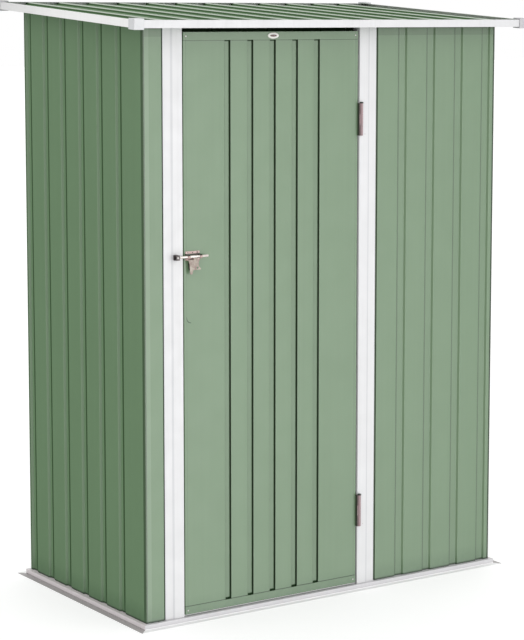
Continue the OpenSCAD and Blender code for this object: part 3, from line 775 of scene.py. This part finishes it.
def sheet(node, body, slot, along, into, up, seed, radius=BEND_R, rows=28, spacing=18 * MM, material=None,
          tuck=None, dark_fold=0.0, top_highlight=0.0, shade_reach=None, thin_line=False):
    """A grooved sheet with rounded bends and slightly uneven flats, in place of its CAD node.

    Along runs across the grooves, into goes from the face to the inner side, and up runs along the grooves.
    Tuck is the place from which a jamb covers the sheet; the part behind the jamb takes painted shade.
    dark_fold paints shade on the fold at its first edge, and a painted highlight goes on the parts that
    stand out, as strong as the top highlight. Steep slopes take painted groove shading, and bends that
    stand out a painted highlight. With shade_reach the floor of each groove takes painted shade that far
    from its first slope, faintly if it is a thin line.
    """
    bm = whole_faces(node)
    corners = end_corners(bm, up)
    plane_point, plane_normal = far_plane(bm, up)
    bm.free()
    base = corners[0].dot(up)
    outer, side = face_line([Vector((p.dot(along), p.dot(into))) for p in corners])
    if tuck is not None:
        outer = tucked(outer, tuck)
    line = bent_line(outer, side, radius, spacing)
    dark, thin = [steepness(abs(p[1].x)) for p in line], [0.0] * len(line)
    if shade_reach:
        line, shade = shaded_floors(line, shade_reach)
        dark, thin = shade, [0.0] * len(line)
        if thin_line:
            dark, thin = [steepness(p[1].x) for p in line], shade
    starts_in_fold = abs(outer[0].x - outer[1].x) < 0.1 * MM

    face = min(p.y for p in outer)
    places, values = [], {"groove": [], "crest_highlight": [], "seam_shade": [], "recess": []}
    for layer in (0, SHEET_T):
        for (point, normal, swell, edge), deep, faint in zip(line, dark, thin):
            in_fold = starts_in_fold and point.x < outer[1].x + 0.2 * MM
            hidden = tuck is not None and in_tuck(point.x, outer, tuck)
            recessed = min(1.0, max(0.0, (point.y - face) / (3 * MM)))
            # Painted shading: shade on groove slopes and floors, a highlight on crests, shade behind the
            # jamb, at the fold and along thin lines
            row_values = {
                "groove": 0.0 if in_fold else deep,
                "crest_highlight": max(edge, top_highlight * (1 - recessed)),
                "seam_shade": 0.7 if hidden else (dark_fold if in_fold else 0.38 * faint),
                "recess": recessed,
            }
            p = point + normal * layer
            foot = along * p.x + into * p.y + up * base
            top = (plane_point - foot).dot(plane_normal) / up.dot(plane_normal)
            for j in range(rows + 1):
                share = j / rows
                fade = min(1.0, 6 * share, 6 * (1 - share))
                uneven = noise.noise(Vector((p.x * 9 + seed, seed * 3.7, top * share * 2.6)))
                places.append(foot + up * top * share + into * (WAVE * swell * fade * uneven))
            for label, value in row_values.items():
                values[label] += [value] * (rows + 1)

    name = node + "_sheet"
    mesh = bpy.data.meshes.new(name)
    mesh.from_pydata(places, [], sheet_faces(len(line), rows))
    bm = bmesh.new()
    bm.from_mesh(mesh)
    bmesh.ops.recalc_face_normals(bm, faces=bm.faces)
    bm.to_mesh(mesh)
    bm.free()
    for label, numbers in values.items():
        mesh.attributes.new(label, "FLOAT", "POINT").data.foreach_set("value", numbers)
    smooth(mesh)
    piece = place_piece(mesh, name, body, slot, material, replaced=[node])
    weigh_normals(piece)


def add_sheets():
    """The grooved sheets, each with a seed of its own, so that no two are uneven alike."""
    sheet("left_wall", "shed", "green_sheet", Y, X, Z, 1, material="side_green", shade_reach=13 * MM)
    sheet("right_wall", "shed", "green_sheet", Y, -X, Z, 2, material="side_green", dark_fold=0.5,
          shade_reach=5 * MM)
    sheet("back_wall_left", "shed", "green_sheet", X, -Y, Z, 3)
    sheet("back_wall_right", "shed", "green_sheet", X, -Y, Z, 4)
    sheet("front_corner_panel", "shed", "green_sheet", X, Y, Z, 5, material="front_green",
          tuck=low("door_jamb_left").x)
    sheet("front_right_panel", "shed", "green_sheet", X, Y, Z, 6, material="front_green",
          tuck=high("door_jamb_right").x + 7 * MM, shade_reach=3 * MM, thin_line=True)
    # The roof's rib tops take a painted highlight
    for seed, node in ((7, "roof_sheet_left"), (8, "roof_sheet_right")):
        sheet(node, "shed", "green_sheet", X, ROOF_DOWN, ROOF_ALONG, seed, material="roof_green", rows=16,
              radius=ROOF_BEND_R, top_highlight=0.45)
    sheet("door_skin", "door", "door_green", X, Y, Z, 9, radius=DOOR_BEND_R, spacing=13 * MM)


# ---- Frame, trims and fittings ----

def add_frame():
    """Base rails, posts, beams, jambs, trims, caps, and the frame of the door."""
    for node in ("base_rail_front", "base_rail_back"):
        finish_node(node, "shed", "rail_white")
    for node in ("base_rail_left", "base_rail_right"):
        finish_node(node, "shed", "rail_white", material="side_rail_white")
    for node in ("corner_post_front_left", "corner_post_front_right", "corner_post_back_left",
                 "corner_post_back_right", "top_beam_front", "top_beam_back", "top_beam_left",
                 "top_beam_right", "roof_beam"):
        finish_node(node, "shed", "galvanised")
    for node in ("door_jamb_left", "door_jamb_right"):
        finish_node(node, "shed", "white_trim", material="jamb_white")
    for node in ("roof_trim_front", "roof_trim_back"):
        finish_node(node, "shed", "white_trim")
    for node in ("roof_trim_left", "roof_trim_right"):
        finish_node(node, "shed", "white_trim", material="side_trim_white")
    for node, material in (("roof_cap_front_left", "cap_plastic"), ("roof_cap_front_right", "cap_grey"),
                           ("roof_cap_back_left", "cap_grey"), ("roof_cap_back_right", "cap_plastic")):
        finish_node(node, "shed", "cap_plastic", width=1.0 * MM, segments=3, material=material)
    for node in ("door_top_channel", "door_bottom_channel", "door_latch_stile", "door_hinge_stile"):
        finish_node(node, "door", "door_green")


def add_rivets():
    """Rivets at the door's corners, and the screws beside the hinges."""
    edge = 9.5 * MM
    bm = bmesh.new()
    for x in (DOOR_LEFT + edge, DOOR_RIGHT - edge):
        for z in (DOOR_BOTTOM + 0.5 * CHANNEL_H, DOOR_TOP - 0.5 * CHANNEL_H):
            dome(bm, Vector((x, low("door_bottom_channel").y, z)), -Y, 2.6 * MM, 1.3 * MM)
    place_bmesh(bm, "door_rivets", "door", "hinge_steel", "rivet_steel")

    jamb = low("door_jamb_right")
    bm = bmesh.new()
    for hinge_foot in (low("hinge_frame_leaves").z, high("hinge_frame_leaves").z - HINGE_H):
        dome(bm, Vector((jamb.x + 12 * MM, jamb.y, hinge_foot + 8 * MM)), -Y, 1.8 * MM, 0.8 * MM)
        dome(bm, Vector((jamb.x + 21 * MM, jamb.y, hinge_foot + 4 * MM)), -Y, 1.8 * MM, 0.8 * MM)
    place_bmesh(bm, "jamb_screws", "shed", "white_trim", "rivet_steel")


def add_scuff():
    """A small curved scuff below the latch."""
    def at(x, z):
        return (DOOR_LEFT + x * MM, DOOR_BOTTOM + (893 + z) * MM)
    outline = (curve_points(at(8, 10), at(6, -8), at(24, -10))
               + curve_points(at(24, -7.6), at(10.5, -5.5), at(10, 10)))
    bm = bmesh.new()
    plate(bm, outline, [], WALL_FRONT + 0.3 * MM, WALL_FRONT - 0.15 * MM)
    place_bmesh(bm, "door_scuff", "door", "door_green", "scuff_dark")


def add_hinges():
    """The hinges' leaves, and the head of the pin on top of each barrel."""
    finish_node("hinge_frame_leaves", "shed", "hinge_steel", degrees=40)
    finish_node("hinge_door_leaves", "door", "hinge_steel", degrees=40)
    axis = Vector((high("hinge_frame_leaves").x - 5 * MM, low("hinge_frame_leaves").y + 5 * MM, 0))
    bm = bmesh.new()
    for top in (high("hinge_frame_leaves").z, low("hinge_frame_leaves").z + HINGE_H):
        lathe(bm, axis + Z * top, Z, [(0, -0.5 * MM), (6 * MM, -0.5 * MM), (6 * MM, 2.4 * MM),
                                      (5 * MM, 3.8 * MM), (0, 4.2 * MM)])
    place_bmesh(bm, "hinge_pin_heads", "shed", "hinge_steel", "hinge_dark")


def oval(centre, width, height, sides=40):
    """An oval's points in (x, z)."""
    return [(centre.x + width / 2 * math.cos(2 * math.pi * k / sides),
             centre.z + height / 2 * math.sin(2 * math.pi * k / sides)) for k in range(sides)]


def curve_points(first, pull, last, steps=8):
    """A smooth bend from first to last, pulled towards a third point."""
    points = []
    for k in range(steps + 1):
        s = k / steps
        points.append(tuple((1 - s) ** 2 * a + 2 * s * (1 - s) * b + s * s * c
                            for a, b, c in zip(first, pull, last)))
    return points


def add_latch():
    """The keeper, the guide, the round bolt and its hanging tab with the padlock hole."""
    finish_node("latch_keeper", "shed", "latch_steel", width=0.7 * MM, segments=3, degrees=40,
                material="latch_dark")
    finish_node("latch_guide", "door", "latch_steel", degrees=40, material="guide_steel")

    bm = bmesh.new()
    dome(bm, Vector((middle("latch_keeper").x, low("latch_keeper").y, BOLT_Z)), -Y, 3.4 * MM, 1.2 * MM)
    place_bmesh(bm, "keeper_rivet", "shed", "latch_steel", "rivet_steel")

    bm = bmesh.new()
    for x in (8, 24.5, 41):
        spot = Vector((low("latch_guide").x + x * MM, WALL_FRONT - 2 * MM, BOLT_Z + 11 * MM))
        dome(bm, spot, -Y, 1.7 * MM, 0.8 * MM)
    place_bmesh(bm, "guide_rivets", "door", "latch_steel", "latch_dark")

    bm = bmesh.new()
    start, end = low("latch_bolt").x, high("latch_bolt").x
    length = end - start
    lathe(bm, Vector((start, BOLT_Y, BOLT_Z)), X,
          [(0, 0), (2.1 * MM, 0), (3.1 * MM, 0.4 * MM), (BOLT_R, 1.4 * MM), (BOLT_R, length - 1.4 * MM),
           (3.1 * MM, length - 0.4 * MM), (2.1 * MM, length), (0, length)], sides=28)
    place_bmesh(bm, "latch_rod", "bolt", "latch_steel", "rod_steel", replaced=["latch_bolt"])

    # The tab's outline in millimetres, right of the door's left edge and up from the bolt's axis
    def at(x, z):
        return (DOOR_LEFT + x * MM, BOLT_Z + z * MM)
    outline = (curve_points(at(4, -9.5), at(11, -12), at(12.5, -20)) + [at(14, -39), at(14.6, -50)]
               + curve_points(at(15.5, -52.5), at(19, -53.6), at(22, -52.5), 4) + [at(25.2, -41.5)]
               + [at(26.5, -40), at(50.5, -40), at(52, -38.5)]
               + curve_points(at(51.5, -36), at(44, -31), at(44, -22))
               + curve_points(at(44.5, -17), at(46, -11), at(52, -9.5))
               + [at(38.5, -9.5), at(38.5, 0), at(26.5, 0), at(26.5, -9.5)])
    hole_x, hole_z = at(40.3, -33.8)
    turns = [2 * math.pi * k / 24 for k in range(24)]
    hole = [(hole_x + 3.2 * MM * math.cos(a), hole_z + 3.2 * MM * math.sin(a)) for a in turns]
    tab_back, tab_front = BOLT_Y + 2.5 * MM, BOLT_Y + 1 * MM
    bm = bmesh.new()
    plate(bm, outline, [hole], tab_back, tab_front)
    place_bmesh(bm, "latch_tab", "bolt", "latch_steel")

    # The tab's return is painted near-black: a painted shadow beside the tab
    bm = bmesh.new()
    left = [at(12, -19), at(12.7, -26), at(14, -39.5)]
    right = [(x + 1.2 * MM, z) for x, z in reversed(left)]
    plate(bm, left + right, [], tab_back + 6 * MM, tab_back)
    place_bmesh(bm, "latch_tab_return", "bolt", "latch_steel", "latch_dark")


def add_badge():
    """The door's plain oval badge with a dark inlay."""
    finish_node("door_badge", "door", "badge_plastic", width=0.5 * MM, segments=3)
    centre, face = middle("door_badge"), low("door_badge").y
    bm = bmesh.new()
    plate(bm, oval(centre, 25 * MM, 7 * MM), [], face + 0.3 * MM, face - 0.3 * MM)
    place_bmesh(bm, "badge_inlay", "door", "badge_plastic", "badge_inlay")


add_camera()
add_floor()
add_world()
add_lights()
add_sheets()
add_frame()
add_rivets()
add_scuff()
add_hinges()
add_latch()
add_badge()

bpy.context.scene.view_settings.view_transform = "Standard"
